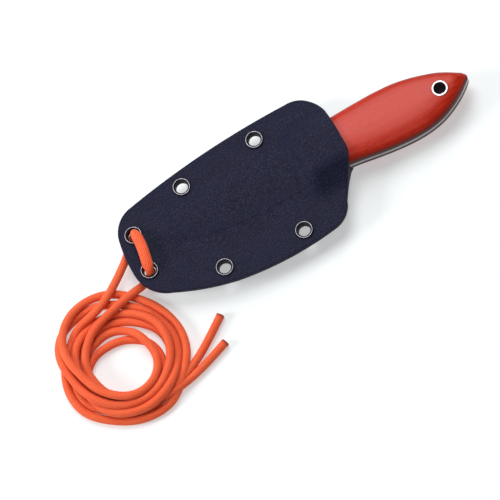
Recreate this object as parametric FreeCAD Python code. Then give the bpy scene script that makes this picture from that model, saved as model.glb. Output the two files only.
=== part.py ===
import FreeCAD, Part
import math
import os

# Fixed-blade knife in a two-shell sheath with a neck cord. Millimetres, +Z up, blade pointing to -X,
# spine to +Y. The origin lies under the middle of the knife and sheath, on the surface they rest on.

V = FreeCAD.Vector
os.makedirs("parts", exist_ok=True)

# Knife, through its thickness
STEEL_T = 2.8
LINER_T = 1.3
SCALE_T = 5.3
LINER_W = STEEL_T / 2
SCALE_W = LINER_W + LINER_T
HANDLE_W = SCALE_W + SCALE_T
SCALE_R = 4.4

# Handle outline stations: x, belly y, spine y, and height of the scale as a share of SCALE_T
HANDLE_STATIONS = [
    (2.4, -8.0, 15.7, 0.72),
    (6.0, -8.1, 15.9, 1.0),
    (26.0, -8.8, 16.9, 1.0),
    (38.0, -10.6, 17.4, 1.0),
    (50.0, -12.0, 17.6, 1.0),
    (60.0, -12.3, 17.0, 1.0),
    (68.0, -11.5, 15.5, 1.0),
    (75.0, -9.6, 13.5, 1.0),
    (81.0, -6.8, 11.3, 1.0),
    (86.0, -3.8, 8.7, 0.92),
    (89.5, -1.2, 6.5, 0.7),
    (92.0, 1.0, 4.8, 0.36),
]
BUTT_TIP = (93.1, 2.9)

# Blade stations: x, spine y, grind line y, edge y, spine thickness
BLADE_STATIONS = [
    (-9.0, 14.1, 2.6, -8.5, STEEL_T),
    (-24.0, 13.8, 2.6, -8.5, STEEL_T),
    (-40.0, 12.9, 3.0, -7.5, STEEL_T),
    (-52.0, 11.5, 3.4, -5.4, 2.7),
    (-62.0, 9.7, 4.0, -2.0, 2.5),
    (-69.0, 8.0, 4.8, 1.8, 1.9),
    (-73.2, 6.6, 5.6, 5.0, 0.8),
]
EDGE_T = 0.3
RICASSO_Y = (-6.6, 14.1)

# Front pin and lanyard tube, and the glue gap round each
PIN_AT = (13.0, 3.8)
PIN_R = 2.0
PIN_RECESS = 0.3
TUBE_AT = (78.7, 2.1)
TUBE_R = 4.05
TUBE_BORE_R = 2.95
TUBE_RECESS = 0.1
TUBE_CHAMFER = 0.25
GLUE_GAP = 0.04

# Sheath: two moulded shells of sheet plastic, flat at the rim, with a pad over the blade and a
# bulge over the handle, and its outline as steps of chain()
SHEET_T = 1.8
FIT_GAP = 0.3
SLOT_W = STEEL_T / 2 + FIT_GAP
PAD_W = SLOT_W + SHEET_T
PAD_MARGIN = 3.4
PAD_TOP_MARGIN = 1.4
BULGE_FOOT = 3.6
MID_Z = HANDLE_W + FIT_GAP + SHEET_T
SHEATH_START = (22.4, -9.7)
SHEATH_STEPS = [
    (14.1, -23.2),
    (9.6, -29.9, 2.6, -32.9),
    (-22.4, -34.9, -50.4, -32.6),
    (-65.6, -28.4, -80.6, -22.2),
    (-89.4, -15.6, -93.0, -5.6),
    (-93.0, 3.6, -91.9, 12.6),
    (-88.8, 20.0, -81.4, 25.2),
    (-39.0, 32.1, 9.5, 34.6),
    (15.7, 33.7, 20.6, 30.3),
    (23.8, 25.8, 25.4, 19.2),
    (26.1, 8.0, 26.2, 1.5),
    (25.4, -5.0, 22.4, -9.7),
]
EYELETS = {
    "eyelet_spine_toe": (-53.0, 22.3),
    "eyelet_spine_mouth": (-11.4, 26.0),
    "eyelet_edge_toe": (-52.9, -24.3),
    "eyelet_edge_mouth": (-10.9, -26.8),
    "lanyard_eyelet_upper": (-84.4, 12.1),
    "lanyard_eyelet_lower": (-85.4, -7.5),
}
BARREL_R = 3.4
HOLE_R = 3.45
BORE_R = 3.0
CREST_R = 4.0
FLANGE_R = 4.6
CREST_H = 0.9
FUNNEL_DEPTH = 0.4

# Neck cord: its routes between the eyelets and the coil, and the two free tails
CORD_R = 2.0
LEG_A = [
    (-85.4, -7.5, 10.1), (-85.4, -7.5, 13.3), (-84.9, -5.2, 15.7), (-84.1, -0.6, 16.1),
    (-83.4, 4.6, 16.1), (-83.4, 9.3, 15.6), (-83.8, 11.8, 13.2), (-84.3, 12.2, 9.7),
    (-85.0, 11.5, 6.3), (-87.4, 9.4, 3.6), (-92.5, 5.4, 2.5), (-98.2, 1.2, 3.2),
    (-103.5, -2.5, 5.4),
]
LEG_B = [
    (-85.4, -7.5, 10.1), (-85.4, -7.5, 6.6), (-87.5, -8.7, 3.8), (-91.6, -9.8, 2.5),
    (-96.3, -10.6, 3.2),
]
TAIL_A = [
    (-93.0, -58.3, 2.0), (-86.5, -55.2, 2.0), (-80.0, -52.0, 2.0), (-74.5, -48.2, 2.0),
    (-70.0, -44.9, 2.0), (-65.7, -41.4, 2.0),
]
TAIL_B = [
    (-98.0, -62.9, 2.0), (-91.5, -61.7, 2.0), (-85.0, -60.0, 2.0), (-79.5, -58.4, 2.0),
    (-74.5, -56.7, 2.0), (-69.7, -54.6, 2.0),
]
COIL_AT = (-117.0, -34.9)
COIL_SEMI = (32.0, 36.0)
COIL_HOLE_AT = (-119.7, -43.6)
COIL_HOLE_SEMI = (15.0, 12.6)
COIL_H = 9.6
COIL_ROUND = 3.0


def chain(start, steps):
    """Closed wire at z = 0 of lines to (x, y) and arcs through (xm, ym) to (x, y)."""
    edges = []
    here = V(start[0], start[1], 0)
    for step in steps:
        there = V(step[-2], step[-1], 0)
        if len(step) == 4:
            edges.append(Part.Arc(here, V(step[0], step[1], 0), there).toShape())
        else:
            edges.append(Part.makeLine(here, there))
        here = there
    return Part.Wire(edges)


def spline(points):
    """Smooth edge through points."""
    curve = Part.BSplineCurve()
    curve.interpolate(points)
    return curve.toShape()


def slab(wire, low, high):
    """Flat plate of a closed wire's outline from height low to high."""
    plate = Part.Face(wire).extrude(V(0, 0, high - low))
    plate.translate(V(0, 0, low))
    return plate


def rod(at, radius, low, high):
    """Upright cylinder."""
    return Part.makeCylinder(radius, high - low, V(at[0], at[1], low))


def fastener_holes():
    """Holes through the handle for the front pin and the lanyard tube."""
    reach = HANDLE_W + 1
    pin_hole = rod(PIN_AT, PIN_R + GLUE_GAP, -reach, reach)
    return pin_hole.fuse(rod(TUBE_AT, TUBE_R + GLUE_GAP, -reach, reach))


def handle_wire():
    """Outline of tang, liners and scales: spine, rounded butt, belly and straight front."""
    spine = [V(x, top, 0) for x, belly, top, share in HANDLE_STATIONS]
    belly = [V(x, low, 0) for x, low, top, share in HANDLE_STATIONS]
    butt = Part.Arc(spine[-1], V(*BUTT_TIP, 0), belly[-1]).toShape()
    front = Part.makeLine(belly[0], spine[0])
    return Part.Wire([spline(spine), butt, spline(belly[::-1]), front])


def rounded_section(x, low, high, base, top, radius):
    """Section in the plane at x: flat base, upright sides and rounded upper corners."""
    side = top - radius
    cos45 = math.sqrt(0.5)
    p = {
        "base_low": V(x, low, base),
        "side_low": V(x, low, side),
        "mid_low": V(x, low + radius * (1 - cos45), side + radius * cos45),
        "top_low": V(x, low + radius, top),
        "top_high": V(x, high - radius, top),
        "mid_high": V(x, high - radius * (1 - cos45), side + radius * cos45),
        "side_high": V(x, high, side),
        "base_high": V(x, high, base),
    }
    edges = [
        Part.makeLine(p["base_low"], p["side_low"]),
        Part.Arc(p["side_low"], p["mid_low"], p["top_low"]).toShape(),
        Part.makeLine(p["top_low"], p["top_high"]),
        Part.Arc(p["top_high"], p["mid_high"], p["side_high"]).toShape(),
        Part.makeLine(p["side_high"], p["base_high"]),
        Part.makeLine(p["base_high"], p["base_low"]),
    ]
    return Part.Wire(edges)


def scale():
    """Rounded handle scale on the front side, lofted through the handle stations."""
    sections = []
    for x, low, high, share in HANDLE_STATIONS:
        height = SCALE_T * share
        radius = min(SCALE_R, 0.46 * (high - low), 0.85 * height)
        sections.append(rounded_section(x, low, high, SCALE_W, SCALE_W + height, radius))
    return Part.makeLoft(sections, True, True).cut(fastener_holes())


def handle_hull(grow, front):
    """Half of the handle inside the sheath, grown all round, from its sloped front past the mouth."""
    x0, low0, high0, _ = HANDLE_STATIONS[0]
    x1, low1, high1, _ = HANDLE_STATIONS[2]
    sections = []
    for x, share in [(front, 0.62), (front + 3.6, 0.93), (front + 7.5, 1.0), (28.0, 1.0)]:
        reach = (x - x0) / (x1 - x0)
        low = low0 + reach * (low1 - low0) - grow
        high = high0 + reach * (high1 - high0) + grow
        top = (HANDLE_W + grow) * share
        sections.append(rounded_section(x, low, high, 0, top, SCALE_R * share))
    return Part.makeLoft(sections, True, True)


def passage_wire(grow, height):
    """Outline, at a height, of all that the blade passes through on its way out, grown by grow."""
    spine = [V(x, top + grow, height) for x, top, grind, low, thick in BLADE_STATIONS]
    edge = [V(x, low - grow, height) for x, top, grind, low, thick in BLADE_STATIONS]
    spine[-1].x -= grow
    edge[-1].x -= grow
    far_x = HANDLE_STATIONS[0][0] + 6
    sides = [
        spline(spine),
        Part.makeLine(spine[-1], edge[-1]),
        spline(edge[::-1]),
        Part.makeLine(edge[0], V(far_x, edge[0].y, height)),
        Part.makeLine(V(far_x, edge[0].y, height), V(far_x, spine[0].y, height)),
        Part.makeLine(V(far_x, spine[0].y, height), spine[0]),
    ]
    return Part.Wire(sides)


def blade():
    """Full-tang blade: ground part, ricasso and tang in one piece of steel."""
    sections = []
    for x, top, grind, low, thick in BLADE_STATIONS:
        half = thick / 2
        lip = min(EDGE_T, thick / 2) / 2
        corners = [V(x, top, half), V(x, grind, half), V(x, low, lip)]
        corners += [V(x, c.y, -c.z) for c in reversed(corners)]
        sections.append(Part.makePolygon(corners + corners[:1]))
    ground = Part.makeLoft(sections, True, False)
    heel_x = BLADE_STATIONS[0][0]
    front_x = HANDLE_STATIONS[0][0]
    low, high = RICASSO_Y
    ricasso = Part.makeBox(front_x - heel_x + 2, high - low, STEEL_T, V(heel_x, low, -LINER_W))
    tang = slab(handle_wire(), -LINER_W, LINER_W)
    steel = ground.fuse([ricasso, tang]).removeSplitter()
    return steel.cut(fastener_holes())


def liner():
    """Thin black spacer between tang and scale, on the front side."""
    return slab(handle_wire(), LINER_W, SCALE_W).cut(fastener_holes())


def lanyard_tube():
    """Steel tube through the butt, with softened rims."""
    half = HANDLE_W - TUBE_RECESS
    tube = rod(TUBE_AT, TUBE_R, -half, half).cut(rod(TUBE_AT, TUBE_BORE_R, -half, half))
    rims = [e for e in tube.Edges if abs(abs(e.BoundBox.ZMin) - half) < 0.01 and e.Closed]
    return tube.makeChamfer(TUBE_CHAMFER, rims)


def front_pin():
    """Plain pin that holds the front of the scales."""
    half = HANDLE_W - PIN_RECESS
    return rod(PIN_AT, PIN_R, -half, half)


def shell():
    """One moulded half of the sheath, on the +w side of the mid-plane."""
    rim = slab(chain(SHEATH_START, SHEATH_STEPS), 0, SHEET_T)
    pad = Part.makeLoft([passage_wire(PAD_MARGIN, 0), passage_wire(PAD_TOP_MARGIN, PAD_W)], True, True)
    grow = FIT_GAP + SHEET_T
    bulge = handle_hull(grow, HANDLE_STATIONS[0][0] - BULGE_FOOT - grow)
    region = slab(chain(SHEATH_START, SHEATH_STEPS), 0, HANDLE_W * 2)
    body = rim.fuse([pad, bulge.common(region)])
    body = body.cut(slab(passage_wire(FIT_GAP, 0), 0, SLOT_W))
    body = body.cut(handle_hull(FIT_GAP, HANDLE_STATIONS[0][0] - BULGE_FOOT))
    for at in EYELETS.values():
        body = body.cut(rod(at, HOLE_R, -1, SHEET_T + 1))
    return body.removeSplitter()


def eyelet(at):
    """Flanged barrel through both shells, rolled over at front and back alike."""
    face = SHEET_T
    crest = face + CREST_H
    throat = face - FUNNEL_DEPTH
    mid_r = (CREST_R + FLANGE_R) / 2
    funnel = Part.Arc(V(BORE_R, 0, throat), V(BORE_R + 0.28, 0, face + 0.36), V(CREST_R - 0.2, 0, crest))
    roll = Part.Arc(V(CREST_R - 0.2, 0, crest), V(mid_r, 0, crest - 0.2), V(FLANGE_R, 0, face + 0.15))
    upper = [
        funnel.toShape(),
        roll.toShape(),
        Part.makeLine(V(FLANGE_R, 0, face + 0.15), V(FLANGE_R, 0, face)),
        Part.makeLine(V(FLANGE_R, 0, face), V(BARREL_R, 0, face)),
        Part.makeLine(V(BARREL_R, 0, face), V(BARREL_R, 0, 0)),
        Part.makeLine(V(BARREL_R, 0, 0), V(BORE_R, 0, 0)),
        Part.makeLine(V(BORE_R, 0, 0), V(BORE_R, 0, throat)),
    ]
    half = Part.Face(Part.Wire(upper)).revolve(V(0, 0, 0), V(0, 0, 1), 360)
    ring = half.fuse(half.mirror(V(0, 0, 0), V(0, 0, 1))).removeSplitter()
    ring.translate(V(at[0], at[1], 0))
    return ring


def cord_tube(name, route):
    """Round tube along straight runs joined by arcs as large as the runs allow."""
    points = [V(*p) for p in route]
    edges = []
    radii = []
    here = points[0]
    for before, corner, after in zip(points, points[1:], points[2:]):
        back = (before - corner).normalize()
        ahead = (after - corner).normalize()
        turn = math.pi - back.getAngle(ahead)
        trim = 0.45 * min(before.distanceToPoint(corner), corner.distanceToPoint(after))
        radius = trim / math.tan(turn / 2)
        middle = (back + ahead).normalize()
        touch_in = corner + back * trim
        touch_out = corner + ahead * trim
        deep = corner + middle * (math.hypot(radius, trim) - radius)
        edges.append(Part.LineSegment(here, touch_in).toShape())
        edges.append(Part.Arc(touch_in, deep, touch_out).toShape())
        radii.append(radius)
        here = touch_out
    edges.append(Part.LineSegment(here, points[-1]).toShape())
    path = Part.Wire(edges)
    ring = Part.Wire(Part.makeCircle(CORD_R, points[0], points[1] - points[0]))
    tube = path.makePipeShell([ring], True, True)
    share = tube.Volume / (math.pi * CORD_R ** 2 * path.Length)
    print(name, "length %.1f" % path.Length, "volume share %.4f" % share, "radii", [round(r, 1) for r in radii])
    return tube


def ellipse_slab(at, semi, low, high):
    """Upright elliptical plate; semi is its half-size in x and in y."""
    ring = Part.Ellipse(V(0, 0, 0), max(semi), min(semi)).toShape()
    if semi[1] > semi[0]:
        ring.rotate(V(0, 0, 0), V(0, 0, 1), 90)
    ring.translate(V(at[0], at[1], 0))
    return slab(Part.Wire(ring), low, high)


def coil():
    """Outer shape of the loosely coiled cord: a soft oval ring that lies on the surface."""
    ring = ellipse_slab(COIL_AT, COIL_SEMI, 0, COIL_H)
    ring = ring.cut(ellipse_slab(COIL_HOLE_AT, COIL_HOLE_SEMI, -1, COIL_H + 1))
    rims = [e for e in ring.Edges if e.Closed]
    return ring.makeFillet(COIL_ROUND, rims)


def main():
    placed = {
        "blade": blade(),
        "lanyard_tube": lanyard_tube(),
        "front_pin": front_pin(),
    }
    for name, make in [("liner", liner), ("scale", scale), ("sheath_shell", shell)]:
        front = make()
        placed[name + "_front"] = front
        placed[name + "_back"] = front.mirror(V(0, 0, 0), V(0, 0, 1))
    for name, at in EYELETS.items():
        placed[name] = eyelet(at)
    for shape in placed.values():
        shape.translate(V(0, 0, MID_Z))
    placed["neck_cord_leg_a"] = cord_tube("leg_a", LEG_A)
    placed["neck_cord_leg_b"] = cord_tube("leg_b", LEG_B)
    placed["neck_cord_tail_a"] = cord_tube("tail_a", TAIL_A)
    placed["neck_cord_tail_b"] = cord_tube("tail_b", TAIL_B)
    placed["neck_cord_coil"] = coil()
    for name, shape in placed.items():
        solid = shape.Solids[0]
        solid.exportStep("parts/" + name + ".step")
        print(name, "solids %d" % len(shape.Solids), "valid %s" % solid.isValid(), "%.0f mm3" % solid.Volume)


main()
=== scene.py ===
"""Rigging knife in its moulded sheath, with a neck cord coiled on the floor.

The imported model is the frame. The shells, scales, eyelets and the two runs of cord are new
meshes that replace their CAD solids; blade, liners, pin and lanyard tube keep theirs.
Lengths below are millimetres, and MM turns them into Blender's metres.
"""
import math

import bmesh
import bpy
import numpy as np
from mathutils import Matrix, Vector
from mathutils.geometry import delaunay_2d_cdt


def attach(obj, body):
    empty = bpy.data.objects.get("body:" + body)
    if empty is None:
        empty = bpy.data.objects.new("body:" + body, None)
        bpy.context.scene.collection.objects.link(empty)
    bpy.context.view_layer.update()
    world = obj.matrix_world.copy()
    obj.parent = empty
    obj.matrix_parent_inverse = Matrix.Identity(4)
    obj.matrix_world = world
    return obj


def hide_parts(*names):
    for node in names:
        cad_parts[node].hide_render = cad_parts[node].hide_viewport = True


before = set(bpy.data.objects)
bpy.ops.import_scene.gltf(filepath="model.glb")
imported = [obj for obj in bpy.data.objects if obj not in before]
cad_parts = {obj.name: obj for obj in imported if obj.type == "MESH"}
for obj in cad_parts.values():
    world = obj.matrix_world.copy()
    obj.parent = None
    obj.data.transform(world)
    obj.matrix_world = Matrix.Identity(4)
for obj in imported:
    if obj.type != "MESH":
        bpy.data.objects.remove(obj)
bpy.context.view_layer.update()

MM = 0.001
MID_Z = 10.1


# ---------------------------------------------------------------- helpers

def smooth_step(low, high, value):
    t = np.clip((value - low) / (high - low), 0.0, 1.0)
    return t * t * (3 - 2 * t)


def mesh_object(name, points_mm, faces, material):
    """A smooth-shaded piece from points in millimetres."""
    mesh = bpy.data.meshes.new(name)
    mesh.from_pydata([tuple(c * MM for c in p) for p in points_mm], [], faces)
    mesh.validate()
    mesh.update()
    shell = bmesh.new()
    shell.from_mesh(mesh)
    bmesh.ops.remove_doubles(shell, verts=shell.verts, dist=1e-7)
    bmesh.ops.dissolve_degenerate(shell, edges=shell.edges, dist=1e-8)
    bmesh.ops.recalc_face_normals(shell, faces=shell.faces)
    shell.to_mesh(mesh)
    shell.free()
    for face in mesh.polygons:
        face.use_smooth = True
    piece = bpy.data.objects.new(name, mesh)
    bpy.context.scene.collection.objects.link(piece)
    mesh.materials.append(material)
    return piece


def sharpen(piece, degrees):
    """Marks the edges sharper than this angle, so that smooth shading stops there."""
    piece.data.set_sharp_from_angle(angle=math.radians(degrees))


# ---------------------------------------------------------------- materials

class Nodes:
    """Builds one Principled material; link values are sockets, others are constants."""

    def __init__(self, name, colour, roughness, **constants):
        self.material = bpy.data.materials.new(name)
        self.material.use_nodes = True
        self.tree = self.material.node_tree
        self.shader = self.tree.nodes["Principled BSDF"]
        self.set(self.shader, {"Base Color": (*colour, 1), "Roughness": roughness, **constants})
        self.object = self.tree.nodes.new("ShaderNodeTexCoord").outputs["Object"]

    def set(self, node, values):
        for key, value in values.items():
            socket = node.inputs[key]
            if isinstance(value, bpy.types.NodeSocket):
                self.tree.links.new(value, socket)
            else:
                socket.default_value = value

    def add(self, kind, values, out=0, **properties):
        node = self.tree.nodes.new("ShaderNode" + kind)
        for key, value in properties.items():
            setattr(node, key, value)
        self.set(node, values)
        return node.outputs[out]

    def maths(self, operation, *values, clamp=False):
        return self.add("Math", dict(enumerate(values)), operation=operation, use_clamp=clamp)

    def noise(self, scale, detail=3.0, vector=None, roughness=0.55):
        values = {"Vector": vector or self.object, "Scale": scale, "Detail": detail,
                  "Roughness": roughness}
        return self.add("TexNoise", values)

    def voronoi(self, scale):
        return self.add("TexVoronoi", {"Vector": self.object, "Scale": scale})

    def stretch(self, x, y, z):
        return self.add("Mapping", {"Vector": self.object, "Scale": (x, y, z)})

    def ranged(self, value, low, high, to_low, to_high):
        values = {"Value": value, 1: low, 2: high, 3: to_low, 4: to_high}
        return self.add("MapRange", values, clamp=True)

    def mix(self, factor, first, second):
        node = self.tree.nodes.new("ShaderNodeMix")
        node.data_type = "RGBA"
        sockets = (node.inputs[0], node.inputs[6], node.inputs[7])
        for socket, value in zip(sockets, (factor, first, second)):
            if isinstance(value, bpy.types.NodeSocket):
                self.tree.links.new(value, socket)
            else:
                socket.default_value = value if isinstance(value, float) else (*value, 1)
        return node.outputs[2]

    def attribute(self, name):
        return self.add("Attribute", {}, out=2, attribute_name=name)

    def bump(self, height, distance_mm, strength=1.0, normal=None):
        values = {"Height": height, "Distance": distance_mm * MM, "Strength": strength}
        if normal:
            values["Normal"] = normal
        return self.add("Bump", values)

    def use(self, **sockets):
        names = {"colour": "Base Color", "roughness": "Roughness", "normal": "Normal", "metal": "Metallic"}
        self.set(self.shader, {names[key]: value for key, value in sockets.items()})
        return self.material


def sheath_plastic():
    n = Nodes("sheath_plastic", (0.01, 0.011, 0.034), 0.6, **{"Specular IOR Level": 0.12})
    grain = n.noise(1450.0, 3.0, roughness=0.75)
    pits = n.voronoi(1500.0)
    fine = n.noise(4200.0, 2.0)
    mottle = n.noise(120.0, 4.0)
    scuff = n.noise(1.0, 3.0, vector=n.stretch(90.0, 900.0, 400.0))
    colour = n.mix(n.ranged(mottle, 0.3, 0.7, 0.0, 1.0), (0.0045, 0.0050, 0.0195), (0.0070, 0.0078, 0.0260))
    colour = n.mix(n.ranged(grain, 0.5, 0.68, 0.0, 1.0), colour, (0.0250, 0.0260, 0.0560))
    colour = n.mix(n.ranged(grain, 0.28, 0.48, 0.6, 0.0), colour, (0.0015, 0.0015, 0.0050))
    colour = n.mix(n.ranged(scuff, 0.62, 0.8, 0.0, 0.3), colour, (0.030, 0.031, 0.058))
    # Lighter band along the shell's rounded edges: partly rubbed wear, partly a painted edge highlight
    edge = n.attribute("rubbed_edge_and_highlight")
    worn_and_highlit = n.maths("MULTIPLY", edge, n.ranged(fine, 0.35, 0.7, 0.2, 0.8))
    colour = n.mix(worn_and_highlit, colour, (0.028, 0.029, 0.050))
    height = n.maths("ADD", grain, n.maths("MULTIPLY", pits, 0.6))
    normal = n.bump(height, 0.16, 0.8)
    normal = n.bump(fine, 0.03, 0.5, normal)
    return n.use(colour=colour, roughness=n.ranged(grain, 0.3, 0.7, 0.66, 0.48), normal=normal)


# The scales' layers: the middle of their oval figure along X, its half-length, how far the layers
# bow over that length, how far they wander, and how thick each is. Between the two sheen heights the crown
# pales with a painted sheen.
FIGURE_X = 38.0
FIGURE_REACH = 25.0
FIGURE_H = 0.3
LAYER_DRIFT = 0.7
LAYER_T = 0.05
SHEEN_FROM = MID_Z + 6.9
SHEEN_FULL = MID_Z + 8.0


def scale_red():
    n = Nodes("scale_red", (0.5, 0.03, 0.01), 0.4, **{"Specular IOR Level": 0.15})
    split = n.tree.nodes.new("ShaderNodeSeparateXYZ")
    n.set(split, {0: n.object})
    from_middle = n.maths("SUBTRACT", split.outputs[0], FIGURE_X * MM)
    along = n.maths("MULTIPLY", from_middle, 1 / (FIGURE_REACH * MM))
    figure = n.maths("MULTIPLY", n.maths("MULTIPLY", along, along), -FIGURE_H * MM)
    drift = n.maths("MULTIPLY", n.noise(1.0, 1.0, vector=n.stretch(20.0, 40.0, 20.0)), LAYER_DRIFT * MM)
    level = n.maths("ADD", n.maths("ADD", split.outputs[2], figure), drift)
    wave = n.maths("SINE", n.maths("MULTIPLY", level, 2 * math.pi / (LAYER_T * MM)))
    streak = n.noise(1.0, 3.0, vector=n.stretch(30.0, 700.0, 700.0))
    weave = n.noise(1.0, 3.0, vector=n.stretch(260.0, 2600.0, 2600.0))
    colour = n.mix(n.ranged(streak, 0.3, 0.7, 0.0, 1.0), (0.35, 0.011, 0.002), (0.45, 0.020, 0.005))
    patchy = n.ranged(n.noise(45.0, 1.0), 0.35, 0.65, 0.35, 1.0)
    dark = n.maths("MULTIPLY", n.ranged(wave, -0.2, 1.0, 0.0, 0.55), patchy)
    colour = n.mix(dark, colour, (0.24, 0.007, 0.003))
    colour = n.mix(n.ranged(weave, 0.5, 0.7, 0.0, 0.5), colour, (0.58, 0.058, 0.024))
    # Painted sheen: the scale's crown paler towards its top
    crown = n.ranged(split.outputs[2], SHEEN_FROM * MM, SHEEN_FULL * MM, 0.0, 0.5)
    colour = n.mix(crown, colour, (0.62, 0.105, 0.085))
    # Painted shade: the colour darkens along the scale's rim and low on its flanks
    rim = n.attribute("painted_rim_shade")
    colour = n.mix(n.maths("MULTIPLY", rim, 0.92), colour, (0.060, 0.006, 0.005))
    normal = n.bump(n.maths("MULTIPLY", wave, 0.5), 0.006, 0.5)
    normal = n.bump(weave, 0.02, 0.5, normal)
    roughness = n.ranged(weave, 0.3, 0.7, 0.3, 0.42)
    return n.use(colour=colour, roughness=roughness, normal=normal)


def liner_black():
    n = Nodes("liner_black", (0.01, 0.006, 0.007), 0.5, **{"Specular IOR Level": 0.1})
    grain = n.noise(1.0, 3.0, vector=n.stretch(700.0, 700.0, 5000.0))
    colour = n.mix(n.ranged(grain, 0.3, 0.7, 0.0, 1.0), (0.006, 0.004, 0.005), (0.018, 0.008, 0.010))
    roughness = n.ranged(grain, 0.3, 0.7, 0.4, 0.6)
    return n.use(colour=colour, roughness=roughness, normal=n.bump(grain, 0.02, 0.6))


def blade_steel():
    n = Nodes("blade_steel", (0.44, 0.42, 0.43), 0.3, Metallic=1.0)
    brushed = n.noise(1.0, 4.0, vector=n.stretch(60.0, 6000.0, 6000.0))
    stain = n.noise(110.0, 4.0)
    colour = n.mix(n.ranged(brushed, 0.3, 0.7, 0.0, 1.0), (0.24, 0.22, 0.23), (0.38, 0.355, 0.365))
    colour = n.mix(n.ranged(stain, 0.55, 0.75, 0.0, 0.4), colour, (0.30, 0.27, 0.27))
    roughness = n.maths("ADD", n.ranged(brushed, 0.3, 0.7, 0.2, 0.34), n.ranged(stain, 0.5, 0.75, 0.0, 0.1))
    return n.use(colour=colour, roughness=roughness, normal=n.bump(brushed, 0.012, 0.6))


TURNING_STEP = 0.16


def turned_steel(name, centre, tint, face_at):
    """Steel with fine rings round its own axis, which runs along Z, with painted shade behind its two end
    faces.
    """
    n = Nodes(name, tint, 0.22, **{"Specular IOR Level": 0.1})
    axis = (centre[0] * MM, centre[1] * MM, 0)
    moved = n.add("VectorMath", {0: n.object, 1: axis}, operation="SUBTRACT")
    flat = n.add("VectorMath", {0: moved, 1: (1, 1, 0)}, operation="MULTIPLY")
    radius = n.add("VectorMath", {0: flat}, out=1, operation="LENGTH")
    rings = n.maths("SINE", n.maths("MULTIPLY", radius, 2 * math.pi / (TURNING_STEP * MM)))
    smear = n.noise(1300.0, 3.0)
    colour = n.mix(n.ranged(smear, 0.35, 0.7, 0.0, 0.5), tint, tuple(0.6 * c for c in tint))
    height_up = n.add("SeparateXYZ", {0: n.object}, out=2)
    level = n.maths("ABSOLUTE", n.maths("SUBTRACT", height_up, MID_Z * MM))
    # Painted shade: dark, dull and less metallic behind the end faces, inside the hole where no light
    # reaches
    painted_bore_shade = n.ranged(level, (face_at - 0.35) * MM, (face_at - 0.1) * MM, 0.97, 0.0)
    colour = n.mix(painted_bore_shade, colour, (0.045, 0.034, 0.042))
    height = n.maths("ADD", n.maths("MULTIPLY", rings, 0.4), smear)
    roughness = n.maths("ADD", n.ranged(smear, 0.3, 0.7, 0.16, 0.34), n.maths("MULTIPLY", painted_bore_shade, 0.5))
    metal = n.maths("SUBTRACT", 1.0, painted_bore_shade)
    return n.use(colour=colour, roughness=roughness, metal=metal, normal=n.bump(height, 0.008, 0.5))


def eyelet_black():
    n = Nodes("eyelet_black", (0.012, 0.012, 0.015), 0.42, **{"Specular IOR Level": 0.1})
    scratch = n.noise(1500.0, 3.0)
    wear_and_highlight = n.attribute("rubbed_edge_and_highlight")
    broken = n.maths("MULTIPLY", wear_and_highlight, n.ranged(scratch, 0.25, 0.6, 0.45, 1.0), clamp=True)
    paint = n.mix(n.ranged(scratch, 0.4, 0.7, 0.0, 1.0), (0.004, 0.004, 0.006), (0.010, 0.010, 0.013))
    colour = n.mix(broken, paint, (0.66, 0.62, 0.72))
    roughness = n.ranged(scratch, 0.3, 0.7, 0.42, 0.6)
    return n.use(colour=colour, roughness=roughness, metal=broken, normal=n.bump(scratch, 0.02, 0.5))


# The braid: strands round the cord, and the length in which they move on by one
BRAID_ROUND = 12
BRAID_STEP = 1.5


def cord_orange():
    n = Nodes("cord_orange", (0.95, 0.12, 0.035), 0.62,
              **{"Sheen Weight": 0.08, "Sheen Roughness": 0.4, "Specular IOR Level": 0.15})
    lay = n.add("UVMap", {}, uv_map="cord_lay")
    split = n.tree.nodes.new("ShaderNodeSeparateXYZ")
    n.set(split, {0: lay})
    around, along = split.outputs[0], split.outputs[1]
    turn = n.maths("MULTIPLY", around, float(BRAID_ROUND))
    step = n.maths("MULTIPLY", along, 1.0 / BRAID_STEP)
    right = n.maths("ADD", turn, step)
    left = n.maths("SUBTRACT", turn, step)
    ridge_a = n.maths("ABSOLUTE", n.maths("SINE", n.maths("MULTIPLY", right, math.pi)))
    ridge_b = n.maths("ABSOLUTE", n.maths("SINE", n.maths("MULTIPLY", left, math.pi)))
    cell = n.maths("MULTIPLY", ridge_a, ridge_b)
    fibre_across, fibre_along = n.maths("MULTIPLY", right, 7.0), n.maths("MULTIPLY", left, 1.2)
    fibres = n.add("CombineXYZ", {0: fibre_across, 1: fibre_along, 2: 0.0})
    fibre_and_glint = n.noise(1.0, 2.0, vector=fibres)
    fuzz = n.noise(3200.0, 2.0)
    blotch = n.ranged(n.noise(95.0, 3.0), 0.3, 0.7, 0.0, 1.0)
    body = n.mix(blotch, (0.86, 0.118, 0.034), (0.91, 0.152, 0.051))
    # Painted shade in the braid's creases between its strands
    painted_crease_shade = n.ranged(cell, 0.05, 0.6, 1.0, 0.0)
    colour = n.mix(n.maths("MULTIPLY", painted_crease_shade, 0.85), body, (0.58, 0.020, 0.005))
    # Painted highlight: lighter short streaks along the fibres; the same noise also gives their bump and
    # roughness
    colour = n.mix(n.ranged(fibre_and_glint, 0.46, 0.7, 0.0, 0.7), colour, (0.93, 0.25, 0.11))
    core = n.attribute("cut_core")
    melt = n.attribute("cut_melt")
    colour = n.mix(core, colour, (0.80, 0.40, 0.34))
    colour = n.mix(melt, colour, (0.22, 0.018, 0.012))
    height = n.maths("ADD", n.maths("MULTIPLY", cell, 0.8), n.maths("MULTIPLY", fibre_and_glint, 0.35))
    normal = n.bump(height, 0.15, 0.8)
    normal = n.bump(fuzz, 0.04, 0.4, normal)
    roughness = n.ranged(fibre_and_glint, 0.3, 0.7, 0.55, 0.75)
    return n.use(colour=colour, roughness=roughness, normal=normal)


# ---------------------------------------------------------------- neck cord

CORD_R = 2.0
CORD_D = 2 * CORD_R
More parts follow.
